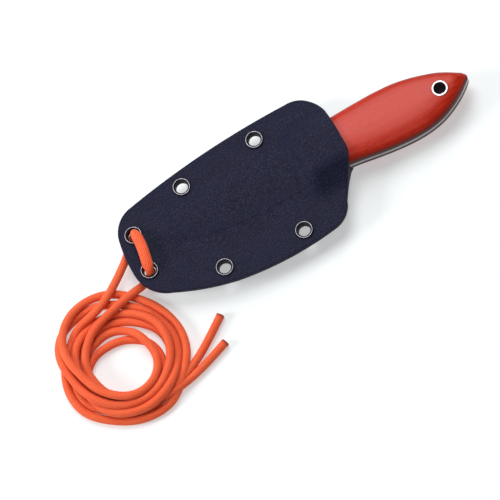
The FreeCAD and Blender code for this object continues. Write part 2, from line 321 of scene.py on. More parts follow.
# Control points of each half, from inside the lower lanyard eyelet to the coil, then of its tail
LEG_A = [
    (-85.5, -7.8, 10.1), (-85.6, -8.5, 13.0), (-85.0, -6.6, 15.8), (-83.9, -1.0, 16.2),
    (-83.1, 4.6, 16.1), (-83.1, 9.9, 15.8), (-83.4, 12.7, 13.6), (-84.0, 12.6, 9.9),
    (-85.5, 13.0, 6.6), (-88.4, 11.4, 3.6), (-92.6, 6.2, 2.5), (-98.2, 1.2, 3.2),
    (-103.5, -2.8, 5.4), (-107.8, -6.6, 6.4),
]
LEG_B = [
    (-85.5, -7.8, 10.1), (-84.5, -6.3, 7.0), (-85.4, -6.2, 4.3), (-88.4, -8.4, 2.8),
    (-92.0, -10.3, 2.5), (-96.3, -10.9, 3.2), (-101.3, -12.2, 4.6), (-106.5, -13.2, 6.0),
    (-111.8, -14.7, 7.0),
]
TAIL_A = [
    (-93.0, -58.3, 2.0), (-86.5, -55.2, 2.0), (-80.0, -52.0, 2.0), (-74.5, -48.2, 2.0),
    (-70.0, -44.9, 2.0), (-65.7, -41.4, 2.0),
]
TAIL_B = [
    (-98.0, -62.9, 2.0), (-91.5, -61.7, 2.0), (-85.0, -60.0, 2.0), (-79.5, -58.4, 2.0),
    (-74.5, -56.7, 2.0), (-69.7, -54.6, 2.0),
]
LEG_RANK_A, LEG_RANK_B, TAIL_RANK = 7.5, 8.5, -1.0
# How many control points from the start keep their place while the strands settle
HELD_A, HELD_B = 10, 4
STRAND_GAP = 0.1
FLOOR_Z = CORD_R + 0.08
COIL_CENTRE = (-117.0, -36.0)
COIL_SECTOR = 45.0
COIL_POINTS_A_TURN = 48
# Distance from the coil's centre and which strand lies over which, every 45 degrees from the top.
TURNS_A = [
    (24.2, 7), (24.4, 3), (30.0, 0), (32.0, 0), (32.6, 0), (32.4, 0), (30.4, 0), (30.4, 1),
    (33.4, 1), (30.2, 6), (21.6, 6), (21.2, 6), (23.2, 6), (19.8, 6), (14.0, 6), (12.6, 5),
    (14.0, 4), (17.5, 2), (21.0, 1), (21.2, 1), (25.4, 1), (26.2, 1), (24.0, 1), (18.6, 2),
    (17.6, 1), (20.0, 1), (25.6, 0), (28.4, 0), (29.0, 0),
]
TURNS_B = [
    (19.2, 8), (16.9, 7), (17.9, 5), (20.6, 4), (22.4, 3), (22.2, 3), (15.0, 2), (9.0, 0),
    (7.8, 0), (10.5, 0), (20.5, 1), (28.4, 1), (30.2, 2), (29.6, 2), (27.6, 2), (25.2, 2),
    (29.0, 0), (32.2, 1), (25.8, 4), (26.2, 4), (26.6, 4), (25.4, 4), (24.0, 4), (22.2, 3),
    (21.4, 1), (22.2, 3), (22.2, 2), (22.2, 2), (27.2, 1),
]


def cubic(values, position):
    """Catmull-Rom value at a fractional index, ends held."""
    k = min(int(position), len(values) - 2)
    t = position - k
    a, b, c, d = (values[min(max(k + i, 0), len(values) - 1)] for i in (-1, 0, 1, 2))
    return b + 0.5 * t * (c - a + t * (2 * a - 5 * b + 4 * c - d + t * (3 * (b - c) + d - a)))


def coil_turns(turns, first_tail):
    """Control points of the turns, anticlockwise from above, each with its rank in the pile."""
    def polar(point):
        x, y = point[0] - COIL_CENTRE[0], point[1] - COIL_CENTRE[1]
        return math.degrees(math.atan2(y, x)), math.hypot(x, y)

    tail_angle, tail_radius = polar(first_tail)
    sectors = len(turns) - 1
    radii = [r for r, _ in turns] + [tail_radius]
    ranks = [float(rank) for _, rank in turns] + [0.0]
    last_angle = 90 + COIL_SECTOR * sectors
    spare = (tail_angle - last_angle) % 360
    count = round(COIL_POINTS_A_TURN * (COIL_SECTOR * sectors + spare) / 360)
    made = []
    for i in range(count):
        angle = 90 + i * 360 / COIL_POINTS_A_TURN
        position = (angle - 90) / COIL_SECTOR
        if position > sectors:
            position = sectors + (position - sectors) * COIL_SECTOR / spare
        radius = cubic(radii, min(position, sectors + 0.999))
        rank = np.interp(position, range(len(ranks)), ranks)
        a = math.radians(angle)
        x, y = COIL_CENTRE[0] + radius * math.cos(a), COIL_CENTRE[1] + radius * math.sin(a)
        made.append((x, y, CORD_R, rank))
    return made


SETTLE_ROUNDS = 260
SINK_ROUNDS = 0.85
SINK_STEP = 0.05
STRAIGHTEN = (0.05, 0.05, 0.4)
DRIFT_BACK, DRIFT_BACK_HIGH, HIGH_RANK = 0.05, 0.12, 3
NEIGHBOURS = 4


def lay_down(runs, free_from, spacing):
    """Settles the strands: each sinks under its weight, straightens a little, keeps near its plan
    and pushes others off, the one of higher rank staying on top."""
    points = np.array([p for run in runs for p in run])
    owner = np.concatenate([[k] * len(run) for k, run in enumerate(runs)])
    index = np.concatenate([range(len(run)) for run in runs])
    plan, rank = points[:, :3].copy(), points[:, 3]
    free = index >= np.array(free_from)[owner]
    place = plan.copy()
    place[free, 2] = np.maximum(plan[free, 2], CORD_R + 1.0 + rank[free])
    start = np.nonzero(owner[:-1] == owner[1:])[0]
    apart = owner[:, None] != owner[start][None]
    apart |= np.abs(index[:, None] - index[start][None] - 0.5) > NEIGHBOURS
    apart &= free[:, None] & free[start][None]
    other_rank = 0.5 * (rank[start] + rank[start + 1])
    inner = np.nonzero((owner[:-2] == owner[2:]) & free[1:-1])[0] + 1
    hold = np.where(rank >= HIGH_RANK, DRIFT_BACK_HIGH, DRIFT_BACK)[:, None]
    for turn in range(SETTLE_ROUNDS):
        place[free, 2] -= SINK_STEP if turn < SETTLE_ROUNDS * SINK_ROUNDS else 0.0
        bend = 0.5 * (place[inner - 1] + place[inner + 1]) - place[inner]
        place[inner] += bend * STRAIGHTEN
        place[:, :2] += np.where(free[:, None], hold * (plan[:, :2] - place[:, :2]), 0)
        a, step = place[start], place[start + 1] - place[start]
        along = place[:, None, :] - a[None, :, :]
        t = np.clip((along * step[None]).sum(2) / np.maximum((step ** 2).sum(1), 1e-9)[None], 0, 1)
        away = along - t[:, :, None] * step[None]
        beside = np.linalg.norm(away[:, :, :2], axis=2) < spacing
        i, j = np.nonzero(beside & (np.abs(away[:, :, 2]) < 2.5 * spacing) & apart)
        higher, lower = rank[i] > other_rank[j] + 0.01, rank[i] < other_rank[j] - 0.01
        later = owner[i] * 1000 + index[i] > owner[start[j]] * 1000 + index[start[j]]
        way = np.where(higher, 1.0, np.where(lower, -1.0, np.where(later, 1.0, -1.0)))
        offset = away[i, j]
        flat = np.linalg.norm(offset[:, :2], axis=1)
        wrong = (offset[:, 2] * way < 0) & (flat < 0.75 * spacing)
        wrong |= (offset[:, 2] * way < 0.4 * spacing) & (flat < 0.5 * spacing)
        distance = np.maximum(np.linalg.norm(offset, axis=1), 1e-6)
        rise = np.sqrt(np.maximum(spacing ** 2 - flat ** 2, 0))
        up = np.zeros_like(offset)
        up[:, 2] = rise * way - offset[:, 2]
        side = offset / distance[:, None] * np.maximum(spacing - distance, 0)[:, None]
        push = np.where(wrong[:, None], up * 0.6, side)
        moved, count = np.zeros_like(place), np.full(len(place), 1e-9)
        share = t[i, j][:, None]
        for who, part in (
            (i, push * 0.5),
            (start[j], -push * 0.5 * (1 - share)),
            (start[j] + 1, -push * 0.5 * share),
        ):
            np.add.at(moved, who, part)
            np.add.at(count, who, np.linalg.norm(part, axis=1) > 1e-6)
        place += np.where(free[:, None], moved / np.maximum(count, 1)[:, None] * 1.3, 0)
        place[free, 2] = np.maximum(place[free, 2], FLOOR_Z)
    return [place[owner == k] for k in range(len(runs))]


def eased(places, start):
    """The control points after the start, each twice averaged with its neighbours."""
    h = np.array(places)
    for _ in range(2):
        h[start + 1:-1] = 0.25 * h[start:-2] + 0.5 * h[start + 1:-1] + 0.25 * h[start + 2:]
    return h


def cord_lines():
    """Settled control points of the two halves."""
    runs, free_from = [], []
    for leg, turns, tail, rank, held in (
        (LEG_A, TURNS_A, TAIL_A, LEG_RANK_A, HELD_A),
        (LEG_B, TURNS_B, TAIL_B, LEG_RANK_B, HELD_B),
    ):
        coil = coil_turns(turns, tail[0])
        runs.append([(*p, rank) for p in leg] + coil + [(*p, TAIL_RANK) for p in tail])
        free_from.append(held)
    settled = lay_down(runs, free_from, CORD_D + STRAND_GAP)
    return [[tuple(p) for p in eased(places, start)] for places, start in zip(settled, free_from)]


def nurbs_line(name, control):
    """Points along the smooth curve of these control points, in millimetres."""
    data = bpy.data.curves.new(name, "CURVE")
    data.dimensions = "3D"
    line = data.splines.new("NURBS")
    line.points.add(len(control) - 1)
    for point, place in zip(line.points, control):
        point.co = (*(c * MM for c in place), 1)
    line.order_u = 3
    line.use_endpoint_u = True
    line.resolution_u = 12
    holder = bpy.data.objects.new(name, data)
    bpy.context.scene.collection.objects.link(holder)
    bpy.context.view_layer.update()
    mesh = bpy.data.meshes.new_from_object(holder)
    points = [Vector(v.co) / MM for v in mesh.vertices]
    bpy.data.objects.remove(holder)
    bpy.data.curves.remove(data)
    bpy.data.meshes.remove(mesh)
    return points


def even_steps(points, step):
    """The same line with points a step apart."""
    lengths = [0.0]
    for a, b in zip(points, points[1:]):
        lengths.append(lengths[-1] + (b - a).length)
    count = max(2, round(lengths[-1] / step))
    stations = [lengths[-1] * i / count for i in range(count + 1)]
    table = np.array([tuple(p) for p in points])
    return [Vector(np.interp(s, lengths, table[:, k]) for k in range(3)) for s in stations], lengths[-1]


CORD_SIDES = 28
BRAID_HEIGHT = 0.055
# Over the sheath the cord is pressed flat, between these heights above the floor
PRESSED = 0.34
PRESSED_FROM, PRESSED_FULL = 14.2, 15.6
MELT_REACH = 1.3
MELT_FLARE = 0.12
# Rings that round off the melted end: share of the radius, how far out, how burnt, how pale
CUT_END = ((0.93, 0.32, 1.0, 0.0), (0.78, 0.42, 0.7, 0.3), (0.62, 0.36, 0.1, 0.9), (0.3, 0.3, 0.0, 1.0))
CUT_END_MIDDLE = 0.27


def braided_cord(name, control, material):
    """The cord's braided tube, cut and melted at its far end, then its path and its length in metres."""
    points, total = even_steps(nurbs_line(name + "_line", control), BRAID_STEP / 2)
    behind, ahead = [points[0]] + points[:-1], points[1:] + [points[-1]]
    tangents = [(b - a).normalized() for a, b in zip(behind, ahead)]
    normal = tangents[0].orthogonal().normalized()
    rings, faces, lay, core, melt = [], [], [], [], []
    step = total / (len(points) - 1)
    for i, (point, tangent) in enumerate(zip(points, tangents)):
        normal = (normal - tangent * normal.dot(tangent)).normalized()
        side = tangent.cross(normal)
        burnt = float(smooth_step(total - MELT_REACH, total, i * step))
        pressed = PRESSED * float(smooth_step(PRESSED_FROM, PRESSED_FULL, point.z))
        across = tangent.cross(Vector((0, 0, 1))).normalized() if pressed else side
        thin = across.cross(tangent)
        for k in range(CORD_SIDES):
            a = 2 * math.pi * k / CORD_SIDES
            weave = BRAID_HEIGHT * (1 if (i + k) % 2 else -1) * (1 - burnt)
            radius = CORD_R + weave + MELT_FLARE * burnt
            spoke = (normal * math.cos(a) + side * math.sin(a)) * radius
            spoke += pressed * (across * spoke.dot(across) - 0.7 * thin * spoke.dot(thin))
            rings.append(point + spoke)
            melt.append(0.85 * burnt)
            core.append(0.0)
    count = len(points)
    for i in range(count - 1):
        for k in range(CORD_SIDES):
            m = (k + 1) % CORD_SIDES
            here, next_ring = i * CORD_SIDES, (i + 1) * CORD_SIDES
            faces.append((here + k, here + m, next_ring + m, next_ring + k))
            lay.append(((k, i), (k + 1, i), (k + 1, i + 1), (k, i + 1)))
    end, out = points[-1], tangents[-1]
    side = out.cross(normal)
    previous = (count - 1) * CORD_SIDES
    for shrink, rise, burnt, pale in CUT_END:
        first = len(rings)
        for k in range(CORD_SIDES):
            a = 2 * math.pi * k / CORD_SIDES
            lumpy = 1 + 0.035 * math.sin(3 * a + shrink * 9)
            spoke = (normal * math.cos(a) + side * math.sin(a)) * CORD_R * shrink * lumpy
            rings.append(end + out * rise + spoke)
            melt.append(burnt)
            core.append(pale)
        for k in range(CORD_SIDES):
            m = (k + 1) % CORD_SIDES
            faces.append((previous + k, previous + m, first + m, first + k))
            lay.append(((k, count), (k + 1, count), (k + 1, count + 1), (k, count + 1)))
        previous = first
    rings.append(end + out * CUT_END_MIDDLE)
    melt.append(0.0)
    core.append(1.0)
    rings.append(points[0])
    melt.append(0.0)
    core.append(0.0)
    for k in range(CORD_SIDES):
        m = (k + 1) % CORD_SIDES
        faces.append((previous + k, previous + m, len(rings) - 2))
        lay.append(((k, count), (k + 1, count), (k, count + 1)))
        faces.append((m, k, len(rings) - 1))
        lay.append(((k + 1, 0), (k, 0), (k, 0)))
    mesh = bpy.data.meshes.new(name)
    mesh.from_pydata([tuple(p * MM) for p in rings], [], faces)
    uv = mesh.uv_layers.new(name="cord_lay")
    flat = [c for face in lay for k, i in face for c in (k / CORD_SIDES, i * step)]
    uv.data.foreach_set("uv", flat)
    for label, values in (("cut_core", core), ("cut_melt", melt)):
        mesh.attributes.new(label, "FLOAT", "POINT").data.foreach_set("value", values)
    mesh.update()
    for face in mesh.polygons:
        face.use_smooth = True
    mesh.materials.append(material)
    piece = bpy.data.objects.new(name, mesh)
    bpy.context.scene.collection.objects.link(piece)
    return piece, [tuple(p * MM) for p in points], total * MM


ORANGE = cord_orange()
LINE_A, LINE_B = cord_lines()
for cord_name, control, nodes in (
    ("neck_cord_a", LINE_A, ("neck_cord_leg_a", "neck_cord_tail_a", "neck_cord_coil")),
    ("neck_cord_b", LINE_B, ("neck_cord_leg_b", "neck_cord_tail_b")),
):
    piece, path, long = braided_cord(cord_name, control, ORANGE)
    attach(piece, "sheath")
    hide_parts(*nodes)


# ---------------------------------------------------------------- sheath shells

SHEET_T = 1.8
FIT_GAP = 0.3
# Heights above the mid-plane, which the cavity clears: the blade's flat, the liner and the scale on it
BLADE_TOP = 1.4
LINER_TOP = 2.7
SCALE_RISE = 5.3
# How far the blade's back bows out between its stations
SPINE_BOW = 0.3
BULGE_TOP = 10.1
PAD_W = 3.5
SHEATH_START = (22.4, -9.7)
SHEATH_STEPS = [
    ((14.1, -23.2),),
    ((9.6, -29.9), (2.6, -32.9)),
    ((-22.4, -34.9), (-50.4, -32.6)),
    ((-65.6, -28.4), (-80.6, -22.2)),
    ((-89.4, -15.6), (-93.0, -5.6)),
    ((-93.0, 3.6), (-91.9, 12.6)),
    ((-88.8, 20.0), (-81.4, 25.2)),
    ((-39.0, 32.1), (9.5, 34.6)),
    ((15.7, 33.7), (20.6, 30.3)),
    ((23.8, 25.8), (25.4, 19.2)),
    ((26.1, 8.0), (26.2, 1.5)),
    ((25.4, -5.0), (22.4, -9.7)),
]
EYELETS = {
    "eyelet_spine_toe": (-53.0, 22.3),
    "eyelet_spine_mouth": (-11.4, 26.0),
    "eyelet_edge_toe": (-52.9, -24.3),
    "eyelet_edge_mouth": (-10.9, -26.8),
    "lanyard_eyelet_upper": (-84.4, 12.1),
    "lanyard_eyelet_lower": (-85.4, -7.5),
}
HOLE_R = 3.45
# x, belly y, spine y and share of the full thickness
HANDLE_STATIONS = [
    (2.4, -8.0, 15.7, 0.3), (5, -8.1, 15.8, 0.66), (10, -8.2, 16.1, 1), (26, -8.8, 16.9, 1),
    (38, -10.6, 17.4, 1), (50, -12.0, 17.6, 1), (60, -12.3, 17.0, 1), (68, -11.5, 15.5, 1),
    (75, -9.6, 13.5, 1),
    (81, -6.8, 11.3, 1), (86, -3.8, 8.7, 0.92), (89.5, -1.2, 6.5, 0.7), (92, 1.0, 4.8, 0.36),
    (93.1, 2.5, 3.3, 0.1),
]
# x, then y of the spine, of the top of the grind and of the edge
BLADE_STATIONS = [
    (-73.2, 6.6, 5.6, 5.0), (-69, 8.0, 4.8, 1.8), (-62, 9.7, 4.0, -2.0), (-52, 11.5, 3.4, -5.4),
    (-40, 12.9, 3.0, -7.5), (-24, 13.8, 2.6, -8.5), (-9, 14.1, 2.6, -8.5), (2, 14.1, 2.6, -8.5),
]


def arc_points(start, middle, end, spacing):
    """Points along the arc through three points, without its start."""
    (x1, y1), (x2, y2), (x3, y3) = start, middle, end
    d = 2 * (x1 * (y2 - y3) + x2 * (y3 - y1) + x3 * (y1 - y2))
    s1, s2, s3 = x1 * x1 + y1 * y1, x2 * x2 + y2 * y2, x3 * x3 + y3 * y3
    cx = (s1 * (y2 - y3) + s2 * (y3 - y1) + s3 * (y1 - y2)) / d
    cy = (s1 * (x3 - x2) + s2 * (x1 - x3) + s3 * (x2 - x1)) / d
    radius = math.hypot(x1 - cx, y1 - cy)
    a1, a2, a3 = (math.atan2(y - cy, x - cx) for x, y in (start, middle, end))
    sweep = (a3 - a1) % (2 * math.pi)
    if (a2 - a1) % (2 * math.pi) > sweep:
        sweep -= 2 * math.pi
    count = max(2, math.ceil(abs(sweep) * radius / spacing))
    angles = [a1 + sweep * i / count for i in range(1, count + 1)]
    return [(cx + radius * math.cos(a), cy + radius * math.sin(a)) for a in angles]


def sheath_outline(spacing):
    """The sheath's closed outline in plan, its straight sides and arcs divided this finely."""
    points = [SHEATH_START]
    for step in SHEATH_STEPS:
        start = points[-1]
        if len(step) == 1:
            count = math.ceil(math.dist(start, step[0]) / spacing)
            for i in range(1, count + 1):
                points.append(tuple(s + (e - s) * i / count for s, e in zip(start, step[0])))
        else:
            points += arc_points(start, *step, spacing)
    return points[:-1]


def between_stations(stations, column, x):
    """The column's value at x, in a straight line between stations."""
    return np.interp(x, [s[0] for s in stations], [s[column] for s in stations])


def inward(points, distance):
    """The outline moved inwards, whichever way round it runs."""
    p = np.array(points)
    ahead, behind = np.roll(p, -1, 0), np.roll(p, 1, 0)
    along = ahead - behind
    along /= np.linalg.norm(along, axis=1)[:, None]
    normal = np.stack([-along[:, 1], along[:, 0]], 1)
    area = 0.5 * np.sum(p[:, 0] * ahead[:, 1] - ahead[:, 0] * p[:, 1])
    return p + normal * distance * (1 if area > 0 else -1)


def soft_larger(first, second, blend):
    """The larger of two heights, rounded over where they meet."""
    return 0.5 * (first + second + np.sqrt((first - second) ** 2 + blend ** 2) - blend)


# Where the bulge over the handle rises, along and across, and the most that it adds to a flat sheet
BULGE_ALONG = (-4.0, 8.0)
BULGE_BELLY = (-20.0, -2.0)
BULGE_SPINE = (9.5, 30.0)
BULGE_RISE = BULGE_TOP - SHEET_T + 0.2
PAD_TOE = (-88.0, -62.0)


def outer_height(x, y):
    """Height of the shell's outside above the mid-plane, in plan."""
    spine = between_stations(BLADE_STATIONS, 1, x)
    grind = between_stations(BLADE_STATIONS, 2, x)
    edge = between_stations(BLADE_STATIONS, 3, x)
    top_side = 1 - smooth_step(spine - 1.5, spine + 7.0, y)
    low_side = smooth_step(edge - 10.0, grind + 3.0, y)
    toe = smooth_step(*PAD_TOE, x)
    pad = (PAD_W - SHEET_T) * top_side * low_side * toe
    across = smooth_step(*BULGE_BELLY, y) * (1 - smooth_step(*BULGE_SPINE, y))
    bulge = BULGE_RISE * across * smooth_step(*BULGE_ALONG, x)
    return SHEET_T + soft_larger(pad, bulge, 2.0)


HANDLE_CAVITY_X = 2.0
BLADE_SLOT_X = -73.5
CAVITY_CORNER = 4.4


def inner_height(x, y):
    """Height of the cavity's roof above the mid-plane, in plan."""
    belly = between_stations(HANDLE_STATIONS, 1, x) - FIT_GAP
    spine = between_stations(HANDLE_STATIONS, 2, x) + FIT_GAP
    share = between_stations(HANDLE_STATIONS, 3, x)
    corner = CAVITY_CORNER
    inset = np.minimum(y - belly, spine - y)
    rounding = corner - np.sqrt(np.maximum(corner ** 2 - np.clip(corner - inset, 0, corner) ** 2, 0))
    roof = LINER_TOP + FIT_GAP + share * (SCALE_RISE - rounding)
    handle = np.where((inset > 0) & (x > HANDLE_CAVITY_X), roof, 0.0)
    top = between_stations(BLADE_STATIONS, 1, x) + FIT_GAP + SPINE_BOW
    low = between_stations(BLADE_STATIONS, 3, x) - FIT_GAP
    slot = np.where((y < top) & (y > low) & (x > BLADE_SLOT_X), BLADE_TOP + FIT_GAP, 0.0)
    return np.maximum(handle, slot)


EDGE_ROUND = 0.55
# Gap between the two shells' rims, and how far it reaches in from the outline
SEAM_GAP = 0.12
SEAM_REACH = 0.12
# Plan mesh of a shell: spacing of the outline, distances of the rings inside it, and the grid within
OUTLINE_STEP = 0.8
RIM_RINGS = (0.06, 0.16, 0.3, 0.55, 1.0)
GRID_STEP = 0.85
GRID_SHIFT = 0.42
GRID_X = (-92.5, 26.5)
GRID_Y = (-34.5, 34.8)
GRID_FROM_EDGE = 1.35
GRID_FROM_HOLE = 0.4
HOLE_SIDES = 40
WALL_SPREAD = 0.03
WALL_SPACING = 0.5
WALL_FROM_EDGE = 0.2
# Least thickness of the plastic over the handle and over the blade, where the outside would be lower
LEAST_OVER_HANDLE = 0.55
LEAST_OVER_BLADE = 0.2


def cavity_rows():
    """Points close on each side of the cavity's walls, which keep these upright and off the knife."""
    rows = []
    for stations, low, high, start, bow in (
        (HANDLE_STATIONS, 1, 2, HANDLE_CAVITY_X, 0.0),
        (BLADE_STATIONS, 3, 1, BLADE_SLOT_X, SPINE_BOW),
    ):
        for x in np.arange(start + WALL_SPREAD, GRID_X[1], WALL_SPACING):
            lower = between_stations(stations, low, x) - FIT_GAP
            upper = between_stations(stations, high, x) + FIT_GAP + bow
            for y in (lower, upper):
                rows += [(x, y - WALL_SPREAD), (x, y + WALL_SPREAD)]
        bottom = between_stations(stations, low, start) - FIT_GAP
        top = between_stations(stations, high, start) + FIT_GAP
        for y in np.arange(bottom, top, WALL_SPACING):
            rows += [(start - WALL_SPREAD, y), (start + WALL_SPREAD, y)]
    return rows


def inside_outline(points, outline):
    """Which of the points lie inside the closed outline."""
    ahead = np.roll(outline, -1, 0)
    x, y = points[:, 0, None], points[:, 1, None]
    crossing = (outline[None, :, 1] > y) != (ahead[None, :, 1] > y)
    rise = np.where(ahead[:, 1] == outline[:, 1], 1e-9, ahead[:, 1] - outline[:, 1])
    slope = (ahead[:, 0] - outline[:, 0]) / rise
    hit = x < slope[None] * (y - outline[None, :, 1]) + outline[None, :, 0]
    return (crossing & hit).sum(1) % 2 == 1


def from_outline(points, outline):
    """How far each point is from the closed outline."""
    step = np.roll(outline, -1, 0) - outline
    found = []
    for point in points:
        offset = point - outline
        t = np.clip((offset * step).sum(1) / (step ** 2).sum(1), 0, 1)
        found.append(np.linalg.norm(offset - t[:, None] * step, axis=1).min())
    return np.array(found)


def shell_plan(outline):
    """Points and triangles that fill the outline, with the eyelets' holes left open."""
    rings = [outline] + [inward(outline, d) for d in RIM_RINGS]
    points = [tuple(p) for ring in rings for p in ring]
    edges = [(i, (i + 1) % len(outline)) for i in range(len(outline))]
    for cx, cy in EYELETS.values():
        first = len(points)
        for k in range(HOLE_SIDES):
            a = 2 * math.pi * k / HOLE_SIDES
            points.append((cx + HOLE_R * math.cos(a), cy + HOLE_R * math.sin(a)))
            edges.append((first + k, first + (k + 1) % HOLE_SIDES))
    xs, ys = np.arange(*GRID_X, GRID_STEP), np.arange(*GRID_Y, GRID_STEP)
    grid = [(x, y) for i, x in enumerate(xs) for y in ys + (GRID_SHIFT if i % 2 else 0.0)]
    rows = cavity_rows()
    from_edge = np.array([GRID_FROM_EDGE] * len(grid) + [WALL_FROM_EDGE] * len(rows))
    grid = np.array(grid + rows)
    clear = np.linalg.norm(grid[:, None] - outline[None], axis=2).min(1) > from_edge
    for cx, cy in EYELETS.values():
        clear &= np.hypot(grid[:, 0] - cx, grid[:, 1] - cy) > HOLE_R + GRID_FROM_HOLE
    points += [tuple(p) for p in grid[inside_outline(grid, outline) & clear]]
    plan, _, triangles, *_ = delaunay_2d_cdt([Vector(p) for p in points], edges, [], 1, 1e-5)
    plan = np.array([tuple(p) for p in plan])
    kept = []
    for t in triangles:
        middle = plan[list(t)].mean(0)
        if all(math.dist(middle, c) > HOLE_R - 0.02 for c in EYELETS.values()):
            kept.append(tuple(t))
    return plan, kept


def shell_piece(name, sign, material):
    """One moulded shell: its plan lifted to the outside and to the cavity, joined round every rim."""
    outline = np.array(sheath_outline(OUTLINE_STEP))
    plan, kept = shell_plan(outline)
    distance = from_outline(plan, outline)
    x, y = plan[:, 0], plan[:, 1]
    inner = inner_height(x, y)
    rounded = np.clip(EDGE_ROUND - distance, 0, EDGE_ROUND)
    drop = EDGE_ROUND - np.sqrt(EDGE_ROUND ** 2 - rounded ** 2)
    over_handle = inner > BLADE_TOP + FIT_GAP
    least = inner + np.where(over_handle, LEAST_OVER_HANDLE, LEAST_OVER_BLADE)
    outer = soft_larger(outer_height(x, y) - drop, least, 0.25)
    inner = np.where((inner < 0.01) & (distance < SEAM_REACH), SEAM_GAP, inner)
    verts = [(px, py, MID_Z + sign * h) for face in (outer, inner) for px, py, h in zip(x, y, face)]
    n = len(plan)
    faces = kept + [(c + n, b + n, a + n) for a, b, c in kept]
    rim = {}
    for a, b, c in kept:
        for edge in ((a, b), (b, c), (c, a)):
            if edge[::-1] in rim:
                del rim[edge[::-1]]
            else:
                rim[edge] = True
    faces += [(b, a, a + n, b + n) for a, b in rim]
    piece = mesh_object(name, verts, faces, material)
    sharpen(piece, 38)
    # Band along the rounded edge, partly rubbed wear and partly a painted edge highlight; the cavity side
    # gets none
    wear_and_highlight = np.exp(-((distance - 0.22) / 0.2) ** 2) * 0.5
    values = np.concatenate([wear_and_highlight, 0 * wear_and_highlight])
    piece.data.attributes.new("rubbed_edge_and_highlight", "FLOAT", "POINT").data.foreach_set("value", values)
    return piece


PLASTIC = sheath_plastic()
for node, sign in (("sheath_shell_front", 1), ("sheath_shell_back", -1)):
    piece = shell_piece("moulded_" + node.replace("sheath_", ""), sign, PLASTIC)
    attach(piece, "sheath")
    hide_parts(node)


# ---------------------------------------------------------------- eyelets

# Radius, height above the mid-plane and how bare the metal is worn, from the bore outwards.
EYELET_PROFILE = [
    (3.00, 0.00, 0.0), (3.00, 1.20, 0.0), (3.04, 1.75, 0.0), (3.16, 2.12, 0.12), (3.34, 2.38, 0.0),
    (3.58, 2.57, 0.0), (3.80, 2.66, 0.0), (3.90, 2.69, 0.3), (3.98, 2.70, 1.0), (4.08, 2.68, 0.9),
    (4.16, 2.63, 0.1), (4.26, 2.56, 0.0), (4.40, 2.36, 0.0), (4.50, 2.12, 0.0), (4.55, 1.86, 0.0),
    (4.50, 1.80, 0.0),
    (3.44, 1.80, 0.0), (3.40, 1.20, 0.0), (3.40, 0.00, 0.0),
]
EYELET_SIDES = 72


def eyelet_piece(name, centre, material):
    """The profile and its mirror image below the mid-plane, turned round the eyelet's axis."""
    half = EYELET_PROFILE
    ring = half + [(r, -z, w) for r, z, w in reversed(half[:-1]) if z != 0]
    ring = [p for k, p in enumerate(ring) if k == 0 or p[:2] != ring[k - 1][:2]]
    verts, wear_and_highlight = [], []
    for k in range(EYELET_SIDES):
        a = 2 * math.pi * k / EYELET_SIDES
        for r, z, w in ring:
            verts.append((centre[0] + r * math.cos(a), centre[1] + r * math.sin(a), MID_Z + z))
            wear_and_highlight.append(w)
    m = len(ring)
    faces = []
    for k in range(EYELET_SIDES):
        here, ahead = k * m, ((k + 1) % EYELET_SIDES) * m
        for i in range(m):
            j = (i + 1) % m
            faces.append((here + i, ahead + i, ahead + j, here + j))
    piece = mesh_object(name, verts, faces, material)
    sharpen(piece, 50)
    piece.data.attributes.new("rubbed_edge_and_highlight", "FLOAT", "POINT").data.foreach_set("value", wear_and_highlight)
    return piece


BLACK_METAL = eyelet_black()
for node, centre in EYELETS.items():
    piece = eyelet_piece("rolled_" + node, centre, BLACK_METAL)
    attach(piece, "sheath")
    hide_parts(node)


# ---------------------------------------------------------------- scales

TUBE_AT = (78.7, 2.1)
PIN_AT = (13.0, 3.8)
TUBE_HOLE_R = 4.09
PIN_HOLE_R = 2.04
# Section of a scale: how wide its two flanks are, and at most how much of the width, how high the
# foot and the shoulder of a flank stand, and how much of a quarter circle the flank turns through
FLANK_BELLY, FLANK_BELLY_SHARE = 8.6, 0.42
FLANK_SPINE, FLANK_SPINE_SHARE = 5.0, 0.32
FOOT = 0.08
SHOULDER = 0.93
FLANK_TURN = 0.86
FLANK_STEPS = 12
CROWN_STEPS = 14
# How high up a scale, in shares of its thickness, and how far in from its edges the painted rim shade
# reaches
SHADE_RIM_H = 0.75
SHADE_RIM_W = 1.3
# Sections stand evenly up to the butt, then closer together to its end
BODY_STEP = 0.7
BUTT_FROM, BUTT_LENGTH, BUTT_STEPS = 84, 9.1, 16


def flank_point(k):
    """How far in and how high a flank's point k is, in shares of the flank and of the scale."""
    u = k / FLANK_STEPS
    u = u * u * (2 - u) if k < FLANK_STEPS else 1.0
    rise = math.sqrt(1 - (1 - FLANK_TURN * u) ** 2) / math.sqrt(1 - (1 - FLANK_TURN) ** 2)
    return u, FOOT + (SHOULDER - FOOT) * rise if k else FOOT


def scale_section(belly, spine, share):
    """Half-profile of a scale at one station, from the belly edge over the top to the spine edge."""
    width = spine - belly
    low = min(FLANK_BELLY, FLANK_BELLY_SHARE * width)
    high = min(FLANK_SPINE, FLANK_SPINE_SHARE * width)
    tall = SCALE_RISE * share
    flank = [flank_point(k) for k in range(FLANK_STEPS + 1)]
    profile = [(belly + low * u, tall * rise) for u, rise in flank]
    for k in range(1, CROWN_STEPS):
        u = k / CROWN_STEPS
        crown = 1 - (2 * u - 1) ** 2
        rise = SHOULDER + (1 - SHOULDER) * crown ** 0.8
        profile.append((belly + low + (width - low - high) * u, tall * rise))
    return profile + [(spine - high * u, tall * rise) for u, rise in reversed(flank)]


